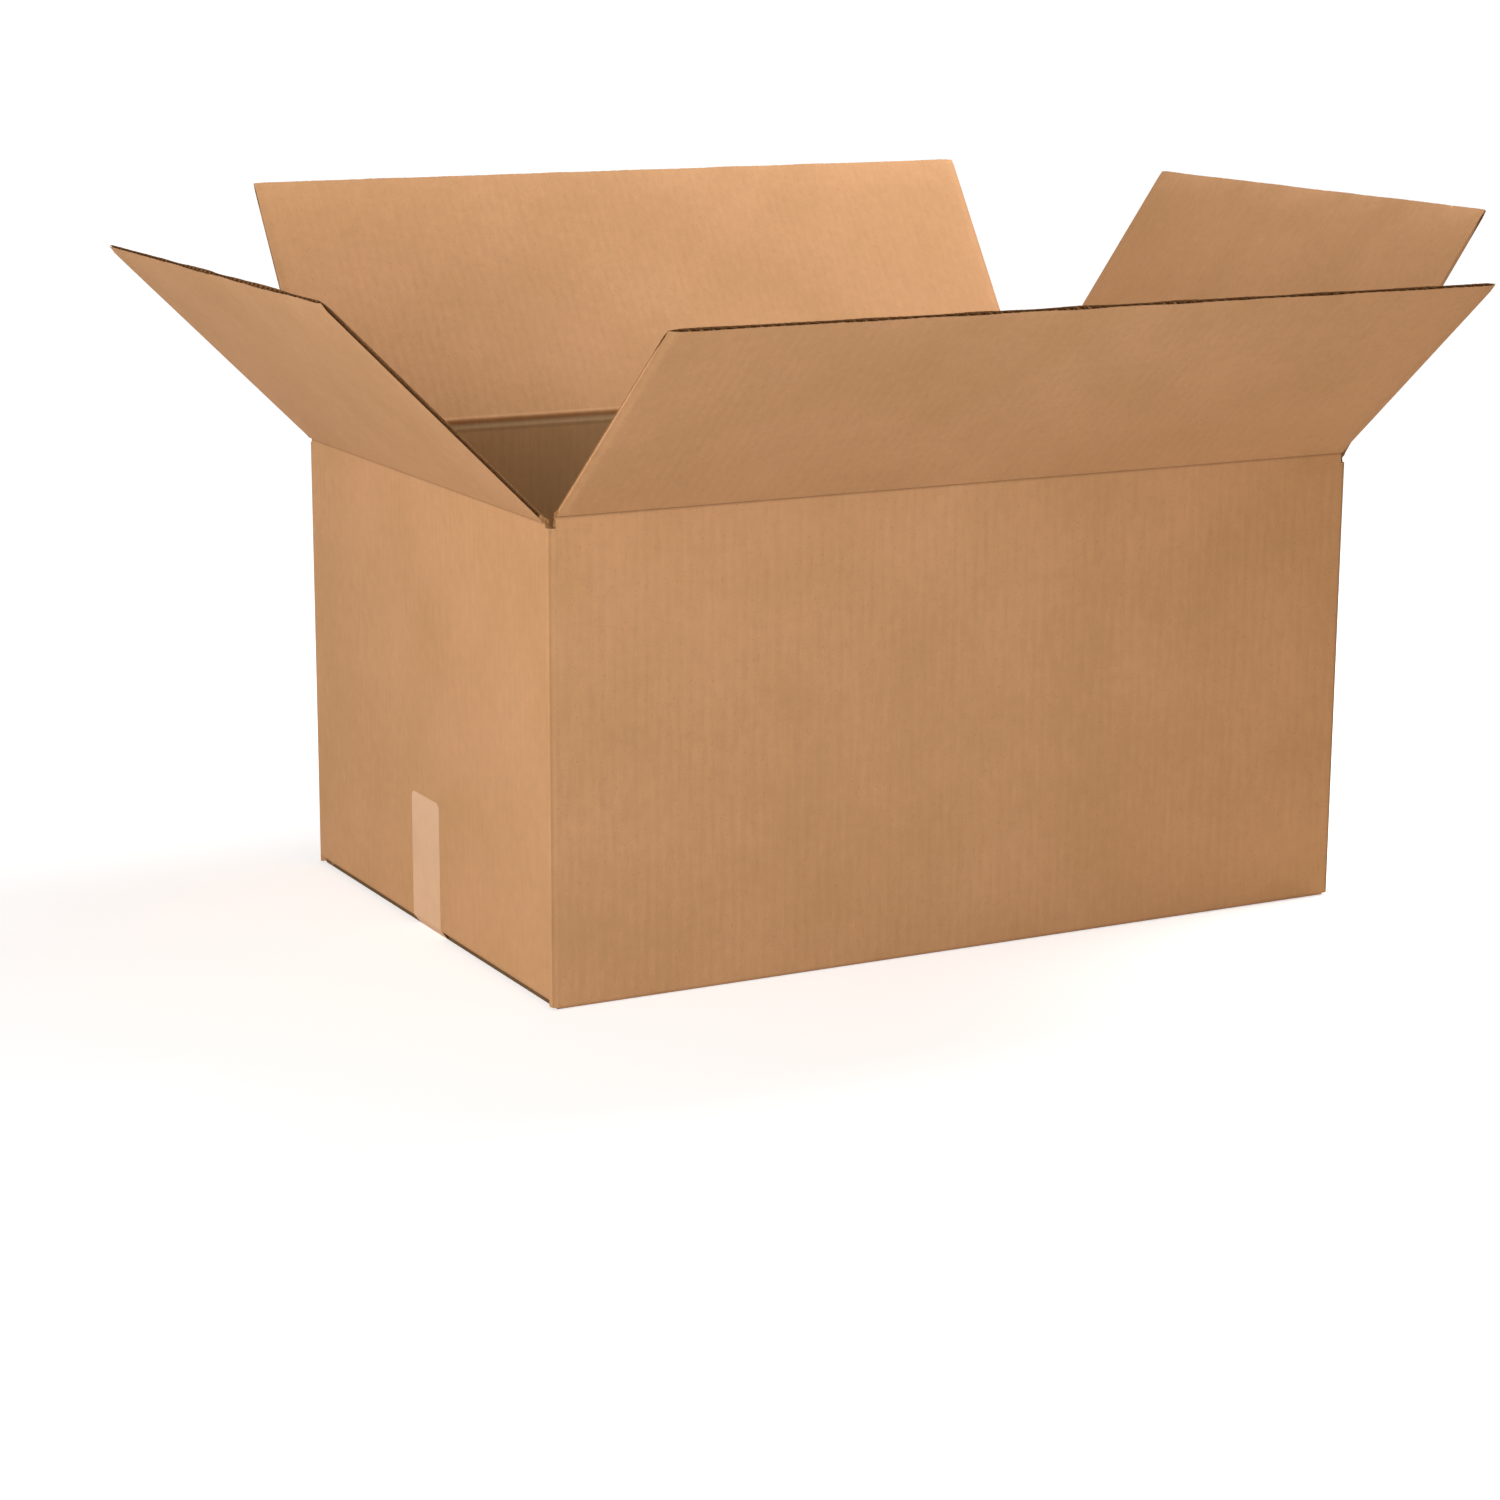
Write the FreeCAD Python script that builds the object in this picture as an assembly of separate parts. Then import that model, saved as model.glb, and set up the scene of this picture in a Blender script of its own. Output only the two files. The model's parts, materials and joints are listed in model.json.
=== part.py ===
import FreeCAD, Part
import math
import os

# An open shipping carton, folded from one sheet of corrugated board.
# Origin: centre of the underside. X runs along the length, Y from front to back, Z up.

# Inside size of the box when it is shut
inside_length = 609.6
inside_width = 406.4
inside_height = 304.8

# Corrugated board: a wavy medium between two flat liners
board = 4.0
liner = 0.45
medium = 0.45
flute_pitch = 7.9

# Play between flaps that lie on each other, beside each other and end to end
layer_gap = 0.4
side_clearance = 1.0
seam_gap = 1.0

# Scored creases of the top flaps, where the board is crushed thin
score_web = 1.2
score_reach = 5.0
crease_gap = 0.15

# Where the flutes stop short of a crease, and the open slit along a flap's cut sides
flute_stop = 9.0
side_slit = 1.6
side_wall = 0.5

# How far the cut ends of the corner folds stay from the floor and from the short creases
corner_lift = 2.0
slot_overcut = 1.5

# Side seam: a tab on the back wall, glued inside the right wall
tab_width = 35.0
tab_slant = 10.0
tab_end_gap = 3.0
seam_step = 0.6
seam_opening = 0.5
seam_taper = 2.5

# Tape over the bottom seam and up both end walls
tape_width = 48.0
tape_thickness = 0.2
adhesive = 0.05
tape_climb = 97.0
tape_side_play = 0.3

# How far each top flap leans outwards from upright, in degrees
front_lean_angle = 50.0
back_lean_angle = 34.5
left_lean_angle = 45.5
right_lean_angle = 35.0

# What follows from those sizes
half_length = inside_length / 2 + board
half_width = inside_width / 2 + board
floor_top = 2 * board + layer_gap
short_crease = floor_top + inside_height + board
long_crease = short_crease + board + layer_gap
flap_reach = half_width - seam_gap / 2
long_half = half_length - board - side_clearance
short_half = half_width - board - side_clearance
tab_inset = board + seam_opening

# Each side: turn about Z, distance of its outer face, where its flaps start and end along the
# wall, underside of its bottom flap, height of its top crease, lean of its top flap
sides = {
    "front": (0, half_width, -long_half, long_half, 0.0, long_crease, front_lean_angle),
    "right": (90, half_length, -short_half, short_half, board + layer_gap, short_crease, right_lean_angle),
    "back": (180, half_width, tab_inset - long_half, long_half, 0.0, long_crease, back_lean_angle),
    "left": (270, half_length, -short_half, short_half, board + layer_gap, short_crease, left_lean_angle),
}

origin = FreeCAD.Vector(0, 0, 0)
along_x = FreeCAD.Vector(1, 0, 0)
along_y = FreeCAD.Vector(0, 1, 0)
along_z = FreeCAD.Vector(0, 0, 1)
same_place = 1e-6


def arc_about(center, radius, start, end, across):
    # Arc between two angles in degrees, in the plane of X and the direction across
    points = []
    for angle in (start, (start + end) / 2, end):
        turn = math.radians(angle)
        points.append(center + along_x * radius * math.cos(turn) + across * radius * math.sin(turn))
    return Part.Arc(*points).toShape()


def face_within(outline):
    # Flat face whose edge runs through points and arcs in order, straight where they don't meet
    starts = []
    ends = []
    for piece in outline:
        if isinstance(piece, Part.Edge):
            starts.append(piece.valueAt(piece.FirstParameter))
            ends.append(piece.valueAt(piece.LastParameter))
        else:
            starts.append(FreeCAD.Vector(*piece))
            ends.append(FreeCAD.Vector(*piece))
    edges = []
    for piece, end, start in zip(outline, ends, starts[1:] + starts[:1]):
        if isinstance(piece, Part.Edge):
            edges.append(piece)
        if end.distanceToPoint(start) > same_place:
            edges.append(Part.LineSegment(end, start).toShape())
    return Part.Face(Part.Wire(edges))


def to_side(shape, turn, distance):
    # From a wall's own frame, with its outer face at y = 0 and inwards as +Y
    placed = shape.copy()
    placed.translate(along_y * -distance)
    placed.rotate(origin, along_z, turn)
    return placed


def slit_at(edge, start, end):
    # The open slit between the liners where a cut runs along the flutes
    slit = Part.makeBox(2 * side_slit, board - 2 * liner, end - start)
    slit.translate(FreeCAD.Vector(edge - side_slit, liner, start))
    return slit


def flute_channels(left, right, start, end):
    # The air in the board: triangular ducts either side of the medium, and a slit at each side
    depth = board - 2 * liner
    half_pitch = flute_pitch / 2
    slope = math.atan2(depth, half_pitch)
    half_base = half_pitch - medium / 2 / math.sin(slope)
    rise = depth - medium / 2 / math.cos(slope)
    room = (right - left) / 2 - side_slit - side_wall - half_base
    ducts = 2 * int(room / half_pitch) + 1
    air = [slit_at(edge, start, end) for edge in (left, right)]
    for number in range(ducts):
        middle = (left + right) / 2 + (number - (ducts - 1) / 2) * half_pitch
        base = liner
        tip = liner + rise
        if number % 2:
            base = board - liner
            tip = board - liner - rise
        section = face_within([
            (middle - half_base, base, start),
            (middle + half_base, base, start),
            (middle, tip, start),
        ])
        air.append(section.extrude(along_z * (end - start)))
    return Part.makeCompound(air)


def top_flap(left, right):
    # Upright flap with its crease at z = 0, thinned at the score and fluted to its free edge
    profile = face_within([
        (left, 0, crease_gap),
        (left, score_web, crease_gap + score_web),
        (left, board, score_reach),
        (left, board, flap_reach),
        (left, 0, flap_reach),
    ])
    blank = profile.extrude(along_x * (right - left))
    return blank.cut(flute_channels(left, right, flute_stop, flap_reach + board))


def wall_and_bottom_flap(left, right, underside, crease):
    # Wall with its scored top edge, folded at the bottom into its bottom flap
    fold_height = underside + board
    fold_center = FreeCAD.Vector(board, 0, fold_height)
    profile = face_within([
        arc_about(fold_center, board, 180, 270, along_z),
        (flap_reach, 0, underside),
        (flap_reach, 0, fold_height),
        (board, 0, fold_height),
        (board, 0, crease - score_reach),
        (score_web, 0, crease - crease_gap - score_web),
        (0, 0, crease - crease_gap),
    ])
    strip = profile.extrude(along_y * (left - right))
    strip.translate(along_y * -left)
    strip.rotate(origin, along_z, 90)
    return strip


def bottom_flap_air(left, right, underside):
    # Short bottom flaps end inside the box with their flutes open. Long ones meet at the
    # seam, so only the slits along their two cut sides show.
    start = board + flute_stop
    if underside > 0:
        air = flute_channels(left, right, start, flap_reach + board)
    else:
        slits = [slit_at(edge, start, flap_reach + board) for edge in (left, right)]
        air = Part.makeCompound(slits)
    air.rotate(origin, along_x, -90)
    air.translate(along_z * (underside + board))
    return air


def wall_ring(low, high):
    # The four walls as one bent strip seen from above, closed by the seam at the back right
    inner_x = half_length - board
    inner_y = half_width - board
    outline = []
    for x, y, start in ((-inner_x, inner_y, 90), (-inner_x, -inner_y, 180), (inner_x, -inner_y, 270)):
        center = FreeCAD.Vector(x, y, low)
        outline.append(arc_about(center, board, start, start + 90, along_y))
    outline.append((half_length, half_width - seam_step, low))
    outline.append((inner_x, half_width - seam_step, low))
    outline.append((inner_x, inner_y - seam_taper, low))
    tab_center = FreeCAD.Vector(inner_x - tab_inset, inner_y, low)
    outline.append(arc_about(tab_center, board, 0, 90, along_y))
    hollow = face_within([
        (-inner_x, -inner_y, low),
        (inner_x, -inner_y, low),
        (inner_x, inner_y - board, low),
        (inner_x - board, inner_y - board, low),
        (inner_x - board, inner_y, low),
        (-inner_x, inner_y, low),
    ])
    return face_within(outline).cut(hollow).extrude(along_z * (high - low))


def corner_posts():
    # The vertical folds run on past the rest of the ring, down and up to the cut slots
    depth = half_width - short_half
    top = short_crease - slot_overcut
    zones = []
    for y, right_end in ((-half_width, long_half), (short_half, long_half - tab_inset)):
        for start, end in ((-half_length, -long_half), (right_end, half_length)):
            zone = Part.makeBox(end - start, depth, top - corner_lift)
            zone.translate(FreeCAD.Vector(start, y, corner_lift))
            zones.append(zone)
    return wall_ring(corner_lift, top).common(Part.makeCompound(zones))


def glue_tab():
    # Tab inside the right wall, with both ends cut back at a slant
    low = floor_top + tab_end_gap
    high = short_crease - board - tab_end_gap
    root = half_width - board
    free = root - tab_width
    plate = face_within([
        (root, board, low),
        (root, board, high),
        (free, board, high - tab_slant),
        (free, board, low + tab_slant),
    ])
    tab = plate.extrude(along_y * board).cut(tab_slit(free, low, high))
    return to_right_wall(tab)


def carton():
    # Walls, bottom flaps and glue tab are one sheet, so one solid
    panels = [corner_posts(), glue_tab()]
    for turn, distance, left, right, underside, crease, lean in sides.values():
        panel = wall_and_bottom_flap(left, right, underside, crease)
        panel = panel.cut(bottom_flap_air(left, right, underside))
        panels.append(to_side(panel, turn, distance))
    sheet = wall_ring(floor_top, short_crease - score_reach).fuse(panels).removeSplitter()
    return sheet.cut([seam_slit(), tape_seat()])


def to_right_wall(shape):
    # The wall that the glue tab lies inside
    turn, distance = sides["right"][:2]
    return to_side(shape, turn, distance)


def seam_slit():
    # In the cut end of the right wall, where it laps over the tab's fold
    return to_right_wall(slit_at(half_width - seam_step, corner_lift, short_crease))


def tab_slit(free, low, high):
    # In the free edge of the glue tab
    slit = slit_at(free, low, high)
    slit.translate(along_y * board)
    return slit


def tape_seat():
    # The shallow seat that the tape presses into the underside
    width = tape_width + 2 * tape_side_play
    seat = Part.makeBox(2 * half_length, width, tape_thickness + adhesive)
    seat.translate(FreeCAD.Vector(-half_length, -width / 2, 0))
    return seat


def bottom_tape():
    # Down an end wall, round its fold, straight to the long flaps' ends, along the seam
    center = FreeCAD.Vector(half_length - board, 0, floor_top)
    edge = FreeCAD.Vector(long_half + adhesive, 0, tape_thickness)
    inner_radius = board + adhesive
    outer_radius = inner_radius + tape_thickness
    reach = edge - center
    leave = math.atan2(reach.z, reach.x) + math.acos(inner_radius / math.hypot(reach.x, reach.z))
    leave_angle = math.degrees(leave)
    mitre = tape_thickness * math.tan((leave + math.pi / 2) / 2)
    right_half = face_within([
        (half_length + adhesive, 0, tape_climb),
        arc_about(center, inner_radius, 0, leave_angle, along_z),
        edge,
        (0, 0, tape_thickness),
        (0, 0, 0),
        (edge.x + mitre, 0, 0),
        arc_about(center, outer_radius, leave_angle, 0, along_z),
        (half_length + adhesive + tape_thickness, 0, tape_climb),
    ])
    strip = right_half.extrude(along_y * tape_width)
    strip.translate(along_y * -tape_width / 2)
    return strip.fuse(strip.mirror(origin, along_x)).removeSplitter()


def placed_flap(turn, distance, left, right, crease, lean):
    # A top flap leaned outwards about the outer line of its crease
    flap = top_flap(left, right)
    flap.rotate(origin, along_x, lean)
    flap.translate(along_z * crease)
    return to_side(flap, turn, distance)


os.makedirs("parts", exist_ok=True)
nodes = {"carton": carton(), "bottom_tape": bottom_tape()}
for side, (turn, distance, left, right, underside, crease, lean) in sides.items():
    nodes[side + "_flap"] = placed_flap(turn, distance, left, right, crease, lean)
for name, shape in nodes.items():
    if len(shape.Solids) != 1 or not shape.isValid():
        raise ValueError(name + " isn't one sound solid")
    shape.Solids[0].exportStep("parts/" + name + ".step")
    box = shape.BoundBox
    print("%-12s volume %9.0f, x %.1f..%.1f, y %.1f..%.1f, z %.1f..%.1f" % (
        name, shape.Volume, box.XMin, box.XMax, box.YMin, box.YMax, box.ZMin, box.ZMax))
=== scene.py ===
import bpy
import json
import math
import random
from mathutils import Matrix, Vector, noise


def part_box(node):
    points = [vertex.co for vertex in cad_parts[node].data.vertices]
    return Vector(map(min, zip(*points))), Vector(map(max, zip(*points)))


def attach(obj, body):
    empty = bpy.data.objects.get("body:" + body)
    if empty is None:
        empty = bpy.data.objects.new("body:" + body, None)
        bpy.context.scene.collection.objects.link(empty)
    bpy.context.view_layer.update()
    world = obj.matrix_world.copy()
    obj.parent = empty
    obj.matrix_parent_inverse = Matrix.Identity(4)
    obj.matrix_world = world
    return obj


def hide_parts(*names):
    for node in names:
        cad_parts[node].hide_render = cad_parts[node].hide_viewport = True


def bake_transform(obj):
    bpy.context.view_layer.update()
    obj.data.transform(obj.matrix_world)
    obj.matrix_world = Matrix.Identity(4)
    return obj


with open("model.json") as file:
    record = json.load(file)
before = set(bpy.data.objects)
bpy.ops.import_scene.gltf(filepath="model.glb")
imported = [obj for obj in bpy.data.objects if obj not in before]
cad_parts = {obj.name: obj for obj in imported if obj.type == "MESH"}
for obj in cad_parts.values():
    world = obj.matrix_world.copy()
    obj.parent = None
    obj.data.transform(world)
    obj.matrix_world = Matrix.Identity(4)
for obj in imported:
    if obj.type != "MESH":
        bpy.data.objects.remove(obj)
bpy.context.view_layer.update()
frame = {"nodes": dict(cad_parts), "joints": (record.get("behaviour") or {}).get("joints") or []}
joints = {joint["name"]: joint for joint in frame["joints"]}
rng = random.Random(7)
print("frame loaded")

# The board, in metres. Flutes run up the walls and out along the flaps
board = {
    "thick": 0.004,
    "liner": 0.0003,
    "medium": 0.00025,
    "pitch": 0.0079,
    "seamGap": 0.001,      # between two flaps that meet
    "floor": 0.0084,       # two layers of bottom flaps
}


def sideOf(name, turn):
    # A side's own frame: x along the wall, y inwards from its outer face, z up
    joint = joints[name + "_flap_hinge"]
    x, y, z = joint["pos_m"]
    back = Matrix.Rotation(-math.radians(turn), 3, "Z")
    ends = sorted((back @ corner).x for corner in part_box(name + "_flap"))
    return {
        "name": name,
        "turn": math.radians(turn),
        "distance": math.hypot(x, y),
        "crease": z,
        "lean": math.radians(-joint["range_deg"][0] - 90),
        "ends": ends,
        "along": "X" if turn % 180 == 0 else "Y",
    }


sides = [sideOf("front", 0), sideOf("right", 90), sideOf("back", 180), sideOf("left", 270)]
halfLength = sides[1]["distance"]
halfWidth = sides[0]["distance"]
flapReach = halfWidth - board["seamGap"] / 2
squarely = 0.7      # a face whose normal has more than this along an axis faces that way


def wallFrame(side):
    return Matrix.Rotation(side["turn"], 4, "Z") @ Matrix.Translation((0, -side["distance"], 0))


def flapFrame(side):
    tilt = Matrix.Rotation(side["lean"], 4, "X")
    return wallFrame(side) @ Matrix.Translation((0, 0, side["crease"])) @ tilt


# Object and edit mode helpers
def only(piece):
    if bpy.context.object and bpy.context.object.mode != "OBJECT":
        bpy.ops.object.mode_set(mode="OBJECT")
    bpy.ops.object.select_all(action="DESELECT")
    piece.select_set(True)
    bpy.context.view_layer.objects.active = piece


def editAll(piece):
    # Edit mode with the whole mesh selected
    only(piece)
    bpy.ops.object.mode_set(mode="EDIT")
    bpy.ops.mesh.select_all(action="SELECT")


def closeEdit():
    bpy.ops.object.mode_set(mode="OBJECT")


def addGrid(name, columns, rows, ends, low, high):
    # Upright sheet in a side's own frame, facing outwards
    bpy.ops.object.select_all(action="DESELECT")
    bpy.ops.mesh.primitive_grid_add(
        x_subdivisions=columns, y_subdivisions=rows, size=1,
        location=(sum(ends) / 2, 0, (low + high) / 2), rotation=(math.pi / 2, 0, 0))
    sheet = bpy.context.object
    sheet.name = name
    sheet.scale = (ends[1] - ends[0], high - low, 1)
    bpy.ops.object.transform_apply(location=True, rotation=True, scale=True)
    return sheet


def thicken(piece, amount, offset=-1.0):
    # The rim takes the piece's second material
    only(piece)
    solid = piece.modifiers.new("thickness", "SOLIDIFY")
    solid.thickness = amount
    solid.offset = offset
    solid.material_offset_rim = 1
    bpy.ops.object.modifier_apply(modifier=solid.name)


def joinAll(pieces, name):
    only(pieces[0])
    for piece in pieces[1:]:
        piece.select_set(True)
    bpy.ops.object.join()
    joined = bpy.context.object
    joined.name = name
    joined.data.name = name
    return joined


def smooth(piece, angle=35):
    only(piece)
    bpy.ops.object.shade_smooth_by_angle(angle=math.radians(angle))


def grey(value):
    return (value, value, value)


# Colours of the board. The first three are as seen on screen, and the others multiply the liner's
kraft = {
    "light": (0.775, 0.585, 0.418),
    "dark": (0.745, 0.562, 0.388),
    "edge": (0.56, 0.4, 0.255),
    # inside: a duller, less red inner liner, partly painted shade of the dim inside
    "inside": (0.77, 0.92, 0.99),
    "insidePaintedLight": (0.92, 1.2),         # times that, low down as painted shade and at the creases as painted light
    "insideFade": 0.085,                # how far below the creases the painted light fades
    # fold and foldShadeLine: the crushed score's darker liner, and painted shade that damps the lamp's
    # highlight on the rounded upright folds
    "fold": (0.88, 0.87, 0.86),
    "foldShadeLine": (0.66, 0.64, 0.61),
    # score: the crease line's tone, partly crushed liner and partly painted shade in the crease
    "score": (0.46, 0.42, 0.38),
    "cut": (0.46, 0.42, 0.37),
    "rightShadeAndTint": (0.87, 0.81, 0.72),         # at the right end of the front: partly painted shade where the light falls off, partly a browner tint
    "fluteShade": 0.99,                     # painted shade in the hollows between the flutes
    "rough": 0.84,
    "shine": 0.22,
    "fuzz": (0.00025, 0.5),             # depth and strength of the fibres' relief
    "ripple": 0.00005,
}

# Scale, detail and stretch of each layer of noise in the liner, and the tone it gives
paper = {
    "fibre": {"noise": (330, 6, (1, 1, 0.14)), "tone": [(0.32, grey(0.965)), (0.7, grey(1.015))]},
    "grain": {"noise": (120, 5), "tone": [(0.3, grey(0.965)), (0.7, grey(1.025))]},
    "speck": {"noise": (900, 2), "tone": [(0.27, (0.8, 0.76, 0.7)), (0.36, grey(1.0))]},
}
blotch = {"noise": (14, 4), "stops": (0.3, 0.7)}
cutLook = {
    "noise": (700, 5),
    "stops": ((0.35, 0.75), (0.7, 1.5)),        # where on the noise, and how light
    "rough": 0.95,
    "shine": 0.1,
    "relief": (0.0003, 0.7),
}
tapeLook = {
    "colour": (0.85, 0.68, 0.53),
    "haze": (60, 4),
    "stops": ((0.3, 0.95), (0.7, 1.04)),
    "wrinkle": (90, 3, (1, 0.3, 1)),
    "rough": 0.42,
    "relief": (0.0006, 0.35),
}


def linear(colour, share=1.0):
    # From screen values to the shader's own
    return tuple(share * (((c + 0.055) / 1.055) ** 2.4 if c > 0.04045 else c / 12.92) for c in colour)


def addNode(tree, kind, **settings):
    node = tree.nodes.new(kind)
    for key, value in settings.items():
        if key in node.inputs:
            node.inputs[key].default_value = value
        else:
            setattr(node, key, value)
    return node


def feed(tree, source, socket):
    # A socket takes either another node's result or a plain value
    if isinstance(source, bpy.types.NodeSocket):
        tree.links.new(source, socket)
    else:
        socket.default_value = source


def startMaterial(name):
    material = bpy.data.materials.new(name)
    material.use_nodes = True
    tree = material.node_tree
    shader = tree.nodes["Principled BSDF"]
    place = addNode(tree, "ShaderNodeTexCoord").outputs["Object"]
    return material, tree, shader, place


def addSplit(tree, source):
    split = addNode(tree, "ShaderNodeSeparateXYZ")
    tree.links.new(source, split.inputs[0])
    return split.outputs


def addNoise(tree, place, scale, detail, stretch=(1, 1, 1)):
    mapping = addNode(tree, "ShaderNodeMapping", Scale=stretch)
    tree.links.new(place, mapping.inputs["Vector"])
    texture = addNode(tree, "ShaderNodeTexNoise", Scale=scale, Detail=detail)
    tree.links.new(mapping.outputs["Vector"], texture.inputs["Vector"])
    return texture.outputs["Fac"]


def addRamp(tree, source, stops):
    ramp = addNode(tree, "ShaderNodeValToRGB")
    while len(ramp.color_ramp.elements) < len(stops):
        ramp.color_ramp.elements.new(0.5)
    for element, (position, colour) in zip(ramp.color_ramp.elements, stops):
        element.position = position
        element.color = (*colour, 1)
    tree.links.new(source, ramp.inputs["Fac"])
    return ramp.outputs["Color"]


def addMix(tree, kind, share, first, second, **settings):
    # The mix node has other sockets for colours than for numbers
    slots, result = ((0, 6, 7), 2) if kind == "RGBA" else ((0, 2, 3), 0)
    mix = addNode(tree, "ShaderNodeMix", data_type=kind, **settings)
    for source, slot in zip((share, first, second), slots):
        feed(tree, source, mix.inputs[slot])
    return mix.outputs[result]


def multiply(tree, first, second):
    return addMix(tree, "RGBA", 1.0, first, second, blend_type="MULTIPLY")


def addMath(tree, operation, *sources):
    node = addNode(tree, "ShaderNodeMath", operation=operation)
    for source, socket in zip(sources, node.inputs):
        feed(tree, source, socket)
    return node.outputs[0]


def addBump(tree, height, distance, strength=1.0, under=None):
    bump = addNode(tree, "ShaderNodeBump", Strength=strength, Distance=distance)
    tree.links.new(height, bump.inputs["Height"])
    if under is not None:
        tree.links.new(under, bump.inputs["Normal"])
    return bump.outputs["Normal"]


def addMark(tree, attribute, tone):
    # Tone where a mesh carries the attribute
    mark = addNode(tree, "ShaderNodeAttribute", attribute_name=attribute)
    return addRamp(tree, mark.outputs["Fac"], [(0.0, grey(1.0)), (1.0, tone)])


def linerMaterial(name, along):
    # Kraft liner: soft blotches, fibres, specks, and the flutes showing through as a faint ripple, with
    # painted shade in its hollows and in the crease lines; the front side darkens towards its right end,
    # partly as painted shade.
    # The carton's own has the flutes across whichever wall it is on, is duller inside, partly as painted
    # shade, with painted light near the top, and has painted shade at the upright folds
    whole = along == "both"
    material, tree, shader, place = startMaterial(name)
    tones = (linear(kraft["dark"]), linear(kraft["light"]))
    colour = addRamp(tree, addNoise(tree, place, *blotch["noise"]), list(zip(blotch["stops"], tones)))
    layers = {}
    for key, look in paper.items():
        layers[key] = addNoise(tree, place, *look["noise"])
        colour = multiply(tree, colour, addRamp(tree, layers[key], look["tone"]))
    spot = addSplit(tree, place)
    facing = addSplit(tree, addNode(tree, "ShaderNodeNewGeometry").outputs["True Normal"])
    across = wallCoordinate(tree, spot, facing) if whole else spot[along]
    wave = addMath(tree, "MULTIPLY", across, 2 * math.pi / board["pitch"])
    ripple = addMath(tree, "MULTIPLY_ADD", addMath(tree, "SINE", wave), 0.5, 0.5)
    # painted shade: a faint darkening in the hollows between the flutes
    fluteShade = addRamp(tree, ripple, [(0.0, grey(kraft["fluteShade"])), (1.0, grey(1.0))])
    colour = multiply(tree, colour, fluteShade)
    # painted shade in the crease lines, together with the crushed score's darker liner
    colour = multiply(tree, colour, addMark(tree, "scoreCrushAndShade", kraft["score"]))
    # the crease strip's inner face takes the duller inside tone, partly painted shade
    colour = multiply(tree, colour, addMark(tree, "insideShade", kraft["inside"]))
    if along != "Y":
        # partly painted shade: the front side darker and browner towards its right end
        colour = multiply(tree, colour, rightwardShadeAndTint(tree, spot))
    if whole:
        # painted light near the top of the inside, painted shade lower down and at the upright folds
        colour = multiply(tree, colour, insideShadeAndLight(tree, spot))
        colour = multiply(tree, colour, foldCrushAndShade(tree, spot))
        colour = multiply(tree, colour, cutTone(tree, spot, facing))
    tree.links.new(colour, shader.inputs["Base Color"])
    shader.inputs["Roughness"].default_value = kraft["rough"]
    shader.inputs["Specular IOR Level"].default_value = kraft["shine"]
    fine = addBump(tree, layers["fibre"], *kraft["fuzz"])
    normal = addBump(tree, ripple, kraft["ripple"], 1.0, fine)
    tree.links.new(normal, shader.inputs["Normal"])
    return material


def wallCoordinate(tree, spot, facing):
    # X on the front and back walls, Y on the end walls
    side = addMath(tree, "GREATER_THAN", addMath(tree, "ABSOLUTE", facing["X"]), squarely)
    return addMix(tree, "FLOAT", side, spot["X"], spot["Y"])


def rightwardShadeAndTint(tree, spot):
    # The front wall and its flap grow darker and browner towards their right end: partly painted shade where
    # the front lamp's light falls off, partly a browner tint
    thick = board["thick"]
    deep = addMath(tree, "MULTIPLY_ADD", spot["Y"], -1 / thick, 1 - halfWidth / thick)
    front = addMath(tree, "MINIMUM", addMath(tree, "MAXIMUM", deep, 0), 1)
    share = addMath(tree, "DIVIDE", addMath(tree, "MULTIPLY", front, spot["X"]), halfLength)
    return addRamp(tree, share, [(0.0, grey(1.0)), (1.0, kraft["rightShadeAndTint"])])


def insideShadeAndLight(tree, spot):
    # The inner liner is a duller brown, partly as painted shade of the dim inside, with painted light under
    # the creases that fades to painted shade lower down
    depths = []
    for axis, reach in (("X", halfLength), ("Y", halfWidth)):
        side = addMath(tree, "ABSOLUTE", spot[axis])
        depths.append(addMath(tree, "MULTIPLY_ADD", side, -1.0, reach))
    depth = addMath(tree, "MINIMUM", *depths)
    # half way along the ramp is just short of the inner face
    share = addMath(tree, "MULTIPLY", depth, 0.5 / (board["thick"] - 0.0005))
    inner = addRamp(tree, share, [(0.48, grey(0.0)), (0.5, grey(1.0))])
    fade = kraft["insideFade"]
    level = addMath(tree, "MULTIPLY_ADD", spot["Z"], 1 / fade, 1 - sides[0]["crease"] / fade)
    low, high = (tuple(light * part for part in kraft["inside"]) for light in kraft["insidePaintedLight"])
    tone = addRamp(tree, level, [(0.0, low), (1.0, high)])
    return addMix(tree, "RGBA", inner, (1, 1, 1, 1), tone)


def foldCrushAndShade(tree, spot):
    # The scored upright folds show as a thin darker line, a little nearer the long walls: partly the crushed
    # score's own colour, partly painted shade that damps the lamp's highlight on the rounded fold and gives
    # it a crisp dark edge
    depths = []
    for axis, reach in (("X", halfLength), ("Y", halfWidth)):
        side = addMath(tree, "ABSOLUTE", spot[axis])
        past = addMath(tree, "SUBTRACT", side, reach - board["thick"])
        depths.append(addMath(tree, "MAXIMUM", past, 0))
    share = addMath(tree, "DIVIDE", depths[1], addMath(tree, "ADD", *depths))
    tones = (grey(1.0), kraft["fold"], kraft["foldShadeLine"], kraft["foldShadeLine"], grey(1.0))
    return addRamp(tree, share, list(zip((0.0, 0.34, 0.42, 0.5, 0.95), tones)))


def between(tree, source, low, high):
    above = addMath(tree, "GREATER_THAN", source, low)
    return addMath(tree, "MULTIPLY", above, addMath(tree, "LESS_THAN", source, high))


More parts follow.
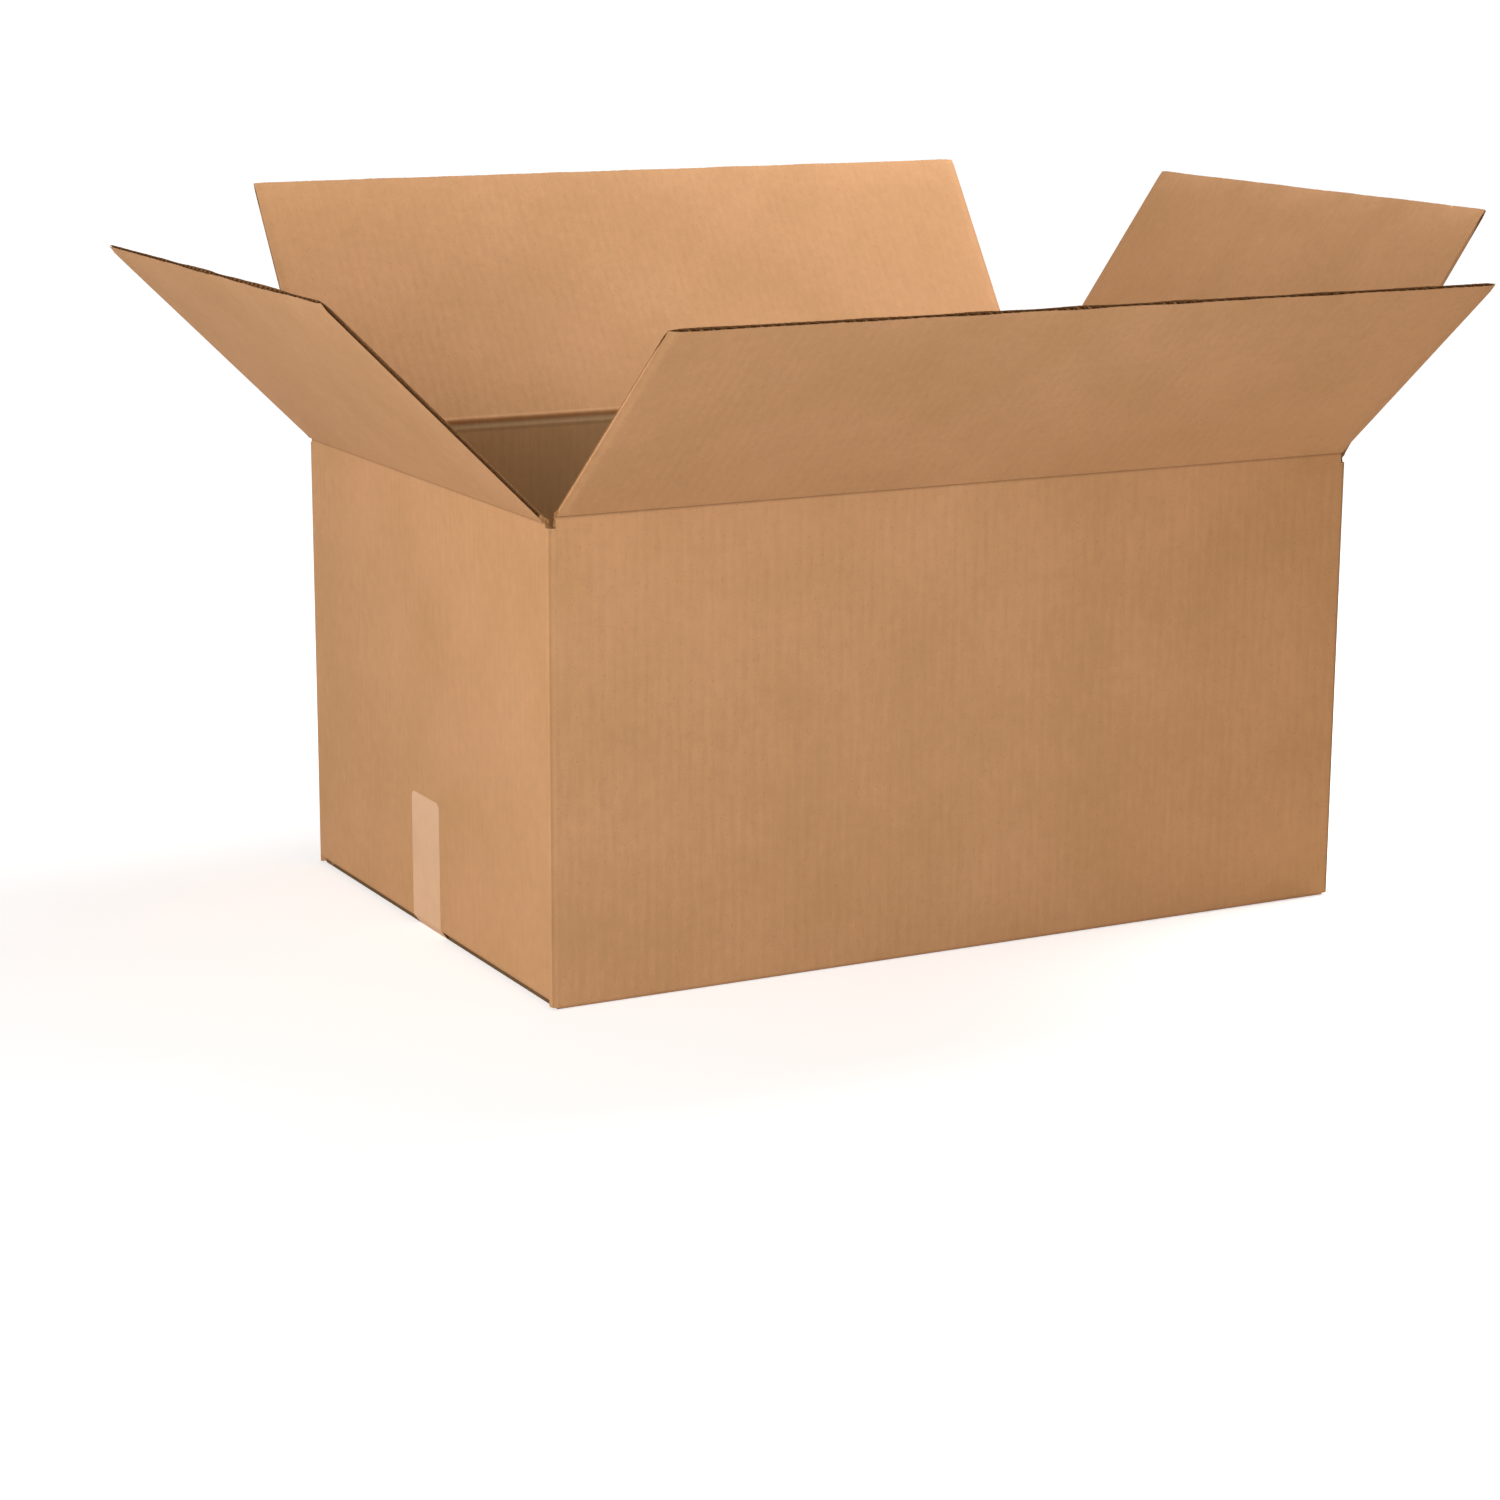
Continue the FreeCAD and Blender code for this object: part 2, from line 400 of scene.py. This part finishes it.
def cutTone(tree, spot, facing):
    # Cut ends of the board: at the slots, the bottom flaps, the side seam and the glue tab.
    # Each is where all its values lie between their limits. A normal never passes 2 or -2
    x, y, z = (spot[axis] for axis in "XYZ")
    inner = halfLength - board["thick"]
    endwards = addMath(tree, "ABSOLUTE", facing["X"])
    reach = addMath(tree, "ABSOLUTE", x)
    cuts = (
        ((facing["Z"], squarely, 2), (z, 0.3, 1)),
        ((endwards, squarely, 2), (z, -1, board["floor"] + 0.0001), (reach, -1, inner - 0.0005)),
        ((facing["Y"], squarely, 2), (x, inner, 1), (y, 0.1, halfWidth - 0.0003)),
        ((facing["Y"], -2, -squarely), (x, inner - board["thick"] - 0.0001, 1), (y, 0.1, halfWidth - 0.006)),
    )
    total = None
    for cut in cuts:
        product = between(tree, *cut[0])
        for limit in cut[1:]:
            product = addMath(tree, "MULTIPLY", product, between(tree, *limit))
        total = product if total is None else addMath(tree, "MAXIMUM", total, product)
    return addRamp(tree, total, [(0.4, grey(1.0)), (0.6, kraft["cut"])])


def edgeMaterial():
    # Cut board and the medium: darker, rough and a little furry
    material, tree, shader, place = startMaterial("cut edge")
    grain = addNoise(tree, place, *cutLook["noise"])
    stops = [(at, linear(kraft["edge"], light)) for at, light in cutLook["stops"]]
    tree.links.new(addRamp(tree, grain, stops), shader.inputs["Base Color"])
    shader.inputs["Roughness"].default_value = cutLook["rough"]
    shader.inputs["Specular IOR Level"].default_value = cutLook["shine"]
    tree.links.new(addBump(tree, grain, *cutLook["relief"]), shader.inputs["Normal"])
    return material


def tapeMaterial():
    # Film tape over kraft: paler and smoother, with faint wrinkles
    material, tree, shader, place = startMaterial("packing tape")
    haze = addNoise(tree, place, *tapeLook["haze"])
    stops = [(at, linear(tapeLook["colour"], light)) for at, light in tapeLook["stops"]]
    tree.links.new(addRamp(tree, haze, stops), shader.inputs["Base Color"])
    wrinkle = addNoise(tree, place, *tapeLook["wrinkle"])
    shader.inputs["Roughness"].default_value = tapeLook["rough"]
    tree.links.new(addBump(tree, wrinkle, *tapeLook["relief"]), shader.inputs["Normal"])
    return material


materials = {
    "X": linerMaterial("kraft liner X", "X"),
    "Y": linerMaterial("kraft liner Y", "Y"),
    "edge": edgeMaterial(),
    "tape": tapeMaterial(),
    "both": linerMaterial("kraft liner", "both"),
}


def dress(piece, *names):
    piece.data.materials.clear()
    for name in names:
        piece.data.materials.append(materials[name])


# The open top flaps: two liners with a wavy medium between, cut across the flutes at the free edge
flapBoard = {
    "start": 0.0065,            # where the crease strip ends
    "rows": 14,                 # along the flap
    "columnsPerFlute": 4,       # in a liner
    "waveSteps": 10,            # in one wave of the medium
    "washboard": 0.00005,       # the flutes showing through the liners
    "washFade": (0.01, 0.004),  # how far from the crease and the cut sides they fade in
    "fray": 0.0003,             # unevenness of the cut edge
    "frayAcross": 0.3,          # share of that across the board
    "sunk": (0.0003, 0.0016),   # how far the medium ends short of the edge, and more in places
    "sunkSpan": 0.031,          # size of those places
    "endRows": (0.0, 0.0025, 0.0065),
    "crushReach": 0.008,        # how far from the free edge the board is squeezed
    "crush": (0.15, 0.35),      # always, and more in places
    "crushSpan": 0.037,
    "sideReach": 0.004,         # how far from the cut sides
}

# How far the cut sides are squeezed, and where the medium ends short of them
sidePinch = {"front": 0.42, "back": 0.42, "left": 0.24, "right": 0.4}
sideGap = {"front": 0.0004, "back": 0.0004, "left": 0.0026, "right": 0.0004}
closedSides = ("front", "back", "right")
# Shut, the long flaps lie over the short ones, so they belly outwards and the short ones inwards
flapBow = {"front": -0.0012, "back": -0.0016, "left": 0.001, "right": 0.0007}


def clamp(share):
    return min(1.0, max(0.0, share))


def ease(share):
    share = clamp(share)
    return share * share * (3 - 2 * share)


def middleOf(side):
    return sum(side["ends"]) / 2


def bowAt(side, x, s):
    # A flap bellies by about a millimetre between its corners
    low, high = side["ends"]
    across = math.sin(math.pi * (x - low) / (high - low))
    share = (s - flapBoard["start"]) / (flapReach - flapBoard["start"])
    along = math.sin(math.pi * clamp(share))
    return flapBow[side["name"]] * across * along * along


def fluteWave(side, x):
    return math.sin(2 * math.pi * (x - middleOf(side)) / board["pitch"])


def rough(side, x, size):
    # Slow unevenness along an edge, from 0 to 1
    return 0.5 + 0.5 * noise.noise(Vector((x / size, side["turn"], size)))


def squeeze(side, x, s):
    # Share of the board's thickness left, less at the cut sides and along the free edge
    reach = min(x - side["ends"][0], side["ends"][1] - x)
    sidePart = sidePinch[side["name"]] * math.exp(-(reach / flapBoard["sideReach"]) ** 2)
    sidePart *= ease(s / flapBoard["start"])
    edge = ease((s - flapReach) / flapBoard["crushReach"] + 1)
    always, more = flapBoard["crush"]
    edgePart = edge * (always + more * ease(2 * rough(side, x, flapBoard["crushSpan"]) - 0.4))
    return 1 - sidePart - edgePart


def atFreeEdge(s):
    return s > flapReach - 1e-5


def rowPlace(row, low, high):
    # Rows stand closer at both ends of a flap
    close = flapBoard["endRows"]
    if row < len(close):
        return low + close[row]
    if row > flapBoard["rows"] - len(close):
        return high - close[flapBoard["rows"] - row]
    first = low + close[-1]
    last = high - close[-1]
    return first + (last - first) * (row - len(close) + 1) / (flapBoard["rows"] - 2 * len(close) + 2)


def addFlapSheet(name, ends, columns):
    # Grid from the crease strip to the free edge
    low, high = flapBoard["start"], flapReach
    sheet = addGrid(name, columns, flapBoard["rows"], ends, low, high)
    for vertex in sheet.data.vertices:
        row = round((vertex.co.z - low) / (high - low) * flapBoard["rows"])
        vertex.co.z = rowPlace(row, low, high)
    return sheet


def addLiner(side, inner):
    ends = side["ends"]
    columns = int((ends[1] - ends[0]) / board["pitch"]) * flapBoard["columnsPerFlute"]
    sheet = addFlapSheet("liner", ends, columns)
    if inner:
        editAll(sheet)
        bpy.ops.mesh.flip_normals()
        closeEdit()
    thicken(sheet, board["liner"])
    facing = 1 if inner else -1
    fromCrease, fromSides = flapBoard["washFade"]
    for vertex in sheet.data.vertices:
        x, n, s = vertex.co
        inset = board["thick"] / 2 - abs(n)
        wash = flapBoard["washboard"] * (1 - facing * fluteWave(side, x)) / 2
        wash *= ease((s - flapBoard["start"]) / fromCrease)
        wash *= ease(min(x - ends[0], ends[1] - x) / fromSides)
        n = board["thick"] / 2 + facing * (inset * squeeze(side, x, s) - wash) + bowAt(side, x, s)
        if atFreeEdge(s):
            s -= flapBoard["fray"] * rng.random()
            n -= facing * flapBoard["frayAcross"] * flapBoard["fray"] * rng.random()
        vertex.co = (x, n, s)
    return sheet


def addMedium(side):
    ends = (side["ends"][0] + sideGap[side["name"]], side["ends"][1] - sideGap[side["name"]])
    columns = int((ends[1] - ends[0]) / board["pitch"] * flapBoard["waveSteps"])
    sheet = addFlapSheet("medium", ends, columns)
    rise = (board["thick"] - 2 * board["liner"] - board["medium"]) / 2
    always, more = flapBoard["sunk"]
    for vertex in sheet.data.vertices:
        x, n, s = vertex.co
        n = board["thick"] / 2 + rise * fluteWave(side, x) * squeeze(side, x, s) + bowAt(side, x, s)
        if atFreeEdge(s):
            s -= always + more * rough(side, x, flapBoard["sunkSpan"]) + flapBoard["fray"] * rng.random()
        vertex.co = (x, n, s)
    if side["name"] in closedSides:
        closeSides(side, sheet, ends, (ends[1] - ends[0]) / columns, rise)
    thicken(sheet, board["medium"], 0)
    return sheet


def closeSides(side, sheet, ends, step, rise):
    # The knife has folded the last two columns of the medium flat across the cut
    tall = rise + board["medium"] / 2
    for vertex in sheet.data.vertices:
        x, n, s = vertex.co
        low = x - ends[0] < ends[1] - x
        reach = min(x - ends[0], ends[1] - x)
        if reach > 1.5 * step or s > flapReach - flapBoard["crushReach"]:
            continue
        last = reach < 0.5 * step
        height = -tall if last else tall
        x = ends[0] if low else ends[1]
        if not last:
            x += 0.0001 if low else -0.0001
        n = board["thick"] / 2 + height * squeeze(side, x, s) + bowAt(side, x, s)
        vertex.co = (x, n, s)


def addFlap(side):
    # Liner faces and closed sides take the first material, all else the cut board's
    outer = addLiner(side, False)
    inner = addLiner(side, True)
    medium = addMedium(side)
    sideways = squarely if side["name"] in closedSides else 2.0
    for sheet, facing in ((outer, -1), (inner, 1)):
        dress(sheet, side["along"], "edge")
        for face in sheet.data.polygons:
            covered = face.normal.y * facing > 0.5 or abs(face.normal.x) > sideways
            face.material_index = 0 if covered else 1
        smooth(sheet)
    dress(medium, side["along"], "edge")
    inside = (side["ends"][1] - side["ends"][0]) / 2 - 0.001
    for face in medium.data.polygons:
        face.material_index = 0 if abs(face.center.x - middleOf(side)) > inside else 1
    smooth(medium)
    flap = joinAll([outer, inner, medium], side["name"] + "_flap_board")
    flap.data.transform(flapFrame(side))
    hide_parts(side["name"] + "_flap")
    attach(flap, side["name"] + "_flap")
    return flap


# The crushed band that runs on over each top crease
strip = {
    "columns": 96,
    "rows": 52,
    "proud": 0.00005,       # lies just over the wall
    "proudEnd": 0.004,      # how far up the flap that fades
    "proudStart": 0.0015,   # and over what length it begins on the wall
    "bendStart": -0.0002,
    "bendEnd": 0.0034,
    "web": 0.0028,          # thickness left on the crease line
    "groove": 0.00035,      # the pressed line outside
    "grooveAt": 0.0012,
    "grooveWide": 0.0008,
    "valley": (0.0045, 0.0022),     # reach of the pressed valley inside, down the wall and up the flap
    "insideBlend": 0.003,   # over which the wall's duller inside, partly painted shade, gives way to the flap's colour
}

# The darkened line on each face, partly the crushed score's own colour and partly painted shade in the
# crease: how far up it lies, how wide it is and how dark
scoreShadeLines = {
    "outer": {"at": strip["grooveAt"], "wide": 0.0009, "dark": 0.55},
    "inner": {"at": -0.0009, "wide": 0.0017, "dark": 0.3},
}


def stripFace(side, x, s, inner):
    # Distance from the wall's outer face, before the fold
    thick = board["thick"] + (strip["proud"] if s < 0 else 0)
    if inner:
        face = strip["web"] + (thick - strip["web"]) * ease(abs(s) / strip["valley"][s > 0])
    else:
        lift = -strip["proud"] * (1 - ease(s / strip["proudEnd"]))
        lift *= ease((s + flapBoard["start"]) / strip["proudStart"] + 0.3)
        face = lift + strip["groove"] * math.exp(-((s - strip["grooveAt"]) / strip["grooveWide"]) ** 2)
    middle = board["thick"] / 2
    return middle + (face - middle) * squeeze(side, x, s)


def foldAt(side, s):
    return side["lean"] * ease((s - strip["bendStart"]) / (strip["bendEnd"] - strip["bendStart"]))


def scoreCrushAndShade(s, inner):
    # Darkening in the pressed line, partly crushed liner and partly painted shade, for the material
    line = scoreShadeLines["inner" if inner else "outer"]
    return math.exp(-((s - line["at"]) / line["wide"]) ** 2) * line["dark"]


def addCreaseStrip(side):
    reach = flapBoard["start"]
    ends = (side["ends"][0] - strip["proud"], side["ends"][1] + strip["proud"])
    sheet = addGrid("crease", strip["columns"], strip["rows"], ends, -reach, reach)
    thicken(sheet, board["thick"])
    dress(sheet, side["along"], "edge")
    for face in sheet.data.polygons:
        face.material_index = 1 if abs(face.normal.x) > squarely else 0
    for name in ("scoreCrushAndShade", "insideShade"):
        sheet.data.attributes.new(name, "FLOAT", "POINT")
    lines = sheet.data.attributes["scoreCrushAndShade"].data
    insides = sheet.data.attributes["insideShade"].data
    for vertex in sheet.data.vertices:
        x, n, s = vertex.co
        inner = n > board["thick"] / 2
        lines[vertex.index].value = scoreCrushAndShade(s, inner)
        # the wall's duller inside tone, partly painted shade, carried onto the strip's inner face
        insides[vertex.index].value = ease(0.5 - s / strip["insideBlend"]) if inner else 0.0
        n = stripFace(side, x, s, inner)
        turn = foldAt(side, s)
        vertex.co = (x, n * math.cos(turn) - s * math.sin(turn), s * math.cos(turn) + n * math.sin(turn))
    sheet.data.update()
    place = wallFrame(side) @ Matrix.Translation((0, 0, side["crease"]))
    sheet.data.transform(place)
    smooth(sheet, 40)
    sheet.name = side["name"] + "_crease"
    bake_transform(sheet)
    return sheet


for side in sides:
    addFlap(side)
    addCreaseStrip(side)
dress(frame["nodes"]["carton"], "both")
print("flaps and creases")

# Film tape over the bottom seam, up both end walls, with sawn ends
film = {
    "thick": 0.00012,
    "round": 0.005,         # its soft corners
    "tooth": 0.0005,        # left by the cutter
    "toothPitch": 0.0024,
    "columns": 80,
    "counts": (40, 6, 14, 36),     # rows on the seam, up to the fold, round it and up the wall
    "overhang": 0.0002,     # runs flat this far past the long bottom flaps
}


def filmPath(tapeBox):
    # From a length along the tape, measured from the middle of the seam, to its outer face
    end = tapeBox[1].x
    center = Vector((halfLength - board["thick"], 0, board["floor"]))
    radius = end - center.x
    corner = Vector((sides[0]["ends"][1] + film["overhang"], 0, 0))
    away = corner - center
    leave = math.atan2(away.z, away.x) + math.acos(radius / away.length)
    leaves = center + radius * Vector((math.cos(leave), 0, math.sin(leave)))
    stops = [0.0, corner.x, corner.x + (leaves - corner).length]
    stops.append(stops[2] - radius * leave)
    stops.append(stops[3] + tapeBox[1].z - center.z)

    def place(length):
        half = math.copysign(1, length)
        length = abs(length)
        if length < stops[1]:
            spot = Vector((length, 0, 0))
        elif length < stops[2]:
            spot = corner.lerp(leaves, (length - stops[1]) / (stops[2] - stops[1]))
        elif length < stops[3]:
            angle = leave + (length - stops[2]) / radius
            spot = center + radius * Vector((math.cos(angle), 0, math.sin(angle)))
        else:
            spot = Vector((end, 0, center.z + length - stops[3]))
        return Vector((half * spot.x, 0, spot.z))

    return place, stops


def filmRows(stops):
    # Lengths of the rows, close together round the fold
    rows = []
    for start, end, count in zip(stops, stops[1:], film["counts"]):
        rows += [start + (end - start) * number / count for number in range(count)]
    rows.append(stops[-1])
    return [-length for length in reversed(rows[1:])] + rows


def addTape():
    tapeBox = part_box("bottom_tape")
    place, stops = filmPath(tapeBox)
    rows = filmRows(stops)
    wide = tapeBox[1].y
    sheet = addGrid("bottom_tape_film", film["columns"], len(rows) - 1, (-wide, wide), -0.5, 0.5)
    for vertex in sheet.data.vertices:
        y, n, share = vertex.co
        length = rows[round((share + 0.5) * (len(rows) - 1))]
        corner = max(0.0, abs(y) - wide + film["round"])
        cut = film["round"] - math.sqrt(max(0.0, film["round"] ** 2 - corner ** 2))
        cut += film["tooth"] * abs((y / film["toothPitch"]) % 1 - 0.5) * 2
        # only the last quarter of the way up a wall gives way to the cut
        cut *= ease((abs(length) - stops[3]) / (stops[4] - stops[3]) * 4 - 3)
        vertex.co = place(length - math.copysign(cut, length)) + Vector((0, y, 0))
    editAll(sheet)
    bpy.ops.mesh.normals_make_consistent(inside=False)
    closeEdit()
    if min(sheet.data.polygons, key=lambda face: face.center.z).normal.z > 0:
        sheet.data.flip_normals()
    thicken(sheet, film["thick"])
    dress(sheet, "tape")
    smooth(sheet, 30)
    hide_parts("bottom_tape")
    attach(sheet, "box")


addTape()
print("tape")

# Camera, lamps and floor
view = {
    "place": (-1.2328, -2.2215, 0.6992),
    "yaw": 27.917,
    "pitch": 13.346,
    "roll": 0.262,
    "lens": 85.99,
    "sensor": 36,
    "clip": (0.05, 50),
}


def addCamera():
    data = bpy.data.cameras.new("camera")
    camera = bpy.data.objects.new("camera", data)
    bpy.context.scene.collection.objects.link(camera)
    data.lens = view["lens"]
    data.sensor_width = view["sensor"]
    data.clip_start, data.clip_end = view["clip"]
    yaw, pitch, roll = (math.radians(view[key]) for key in ("yaw", "pitch", "roll"))
    turn = Matrix.Rotation(-yaw, 4, "Z") @ Matrix.Rotation(math.pi / 2 - pitch, 4, "X")
    camera.matrix_world = Matrix.Translation(view["place"]) @ turn @ Matrix.Rotation(roll, 4, "Z")
    bpy.context.scene.camera = camera


# A low lamp from the left and front, and a smaller one overhead that leaves the inside dim
lamps = {
    "front": {"place": (-2.3, -1.7, 0.6), "size": 1.8, "power": 82},
    "top": {"place": (1.05, 0.17, 1.6), "size": 0.9, "power": 37},
}
lampAim = Vector((0, 0, 0.2))
ambient = 0.225


def addLamps():
    for name, lamp in lamps.items():
        data = bpy.data.lights.new(name, "AREA")
        data.size = lamp["size"]
        data.energy = lamp["power"]
        holder = bpy.data.objects.new(name, data)
        bpy.context.scene.collection.objects.link(holder)
        holder.location = lamp["place"]
        aim = lampAim - Vector(lamp["place"])
        holder.rotation_euler = aim.to_track_quat("-Z", "Y").to_euler()


def addRange(tree, source, low, high, first, last):
    # Goes from first to last while the source goes from low to high
    span = addNode(tree, "ShaderNodeMapRange")
    tree.links.new(source, span.inputs["Value"])
    for name, value in (("From Min", low), ("From Max", high), ("To Min", first), ("To Max", last)):
        span.inputs[name].default_value = value
    return span.outputs["Result"]


def seenByCamera(tree):
    return addNode(tree, "ShaderNodeLightPath").outputs["Is Camera Ray"]


def addWorld():
    # White to the camera, dimmer as light
    world = bpy.data.worlds.new("world")
    world.use_nodes = True
    tree = world.node_tree
    backdrop = tree.nodes["Background"]
    level = addRange(tree, seenByCamera(tree), 0, 1, ambient, 1)
    tree.links.new(level, backdrop.inputs["Strength"])
    backdrop.inputs["Color"].default_value = (1, 1, 1, 1)
    bpy.context.scene.world = world


floorLook = {
    "size": 60,
    "glow": (0.54, 0.86),       # seen by the camera, near the box and further off
    "reach": (0.8, 3.5),        # how near and how far that is
    "colour": 0.84,
    "rough": 0.9,
    "shine": 0.1,
}


def addFloor():
    bpy.ops.object.select_all(action="DESELECT")
    bpy.ops.mesh.primitive_plane_add(size=floorLook["size"], location=(0, 0, 0))
    floor = bpy.context.object
    floor.name = "floor"
    material, tree, shader, place = startMaterial("floor")
    shader.inputs["Base Color"].default_value = (*grey(floorLook["colour"]), 1)
    shader.inputs["Roughness"].default_value = floorLook["rough"]
    shader.inputs["Specular IOR Level"].default_value = floorLook["shine"]
    distance = addNode(tree, "ShaderNodeVectorMath", operation="LENGTH")
    tree.links.new(place, distance.inputs[0])
    glow = addRange(tree, distance.outputs["Value"], *floorLook["reach"], *floorLook["glow"])
    glowing = addMath(tree, "MULTIPLY", glow, seenByCamera(tree))
    tree.links.new(glowing, shader.inputs["Emission Strength"])
    shader.inputs["Emission Color"].default_value = (1, 1, 1, 1)
    floor.data.materials.append(material)


addCamera()
addLamps()
addWorld()
addFloor()
bpy.context.scene.view_settings.view_transform = "Standard"
print("camera, lamps and floor")
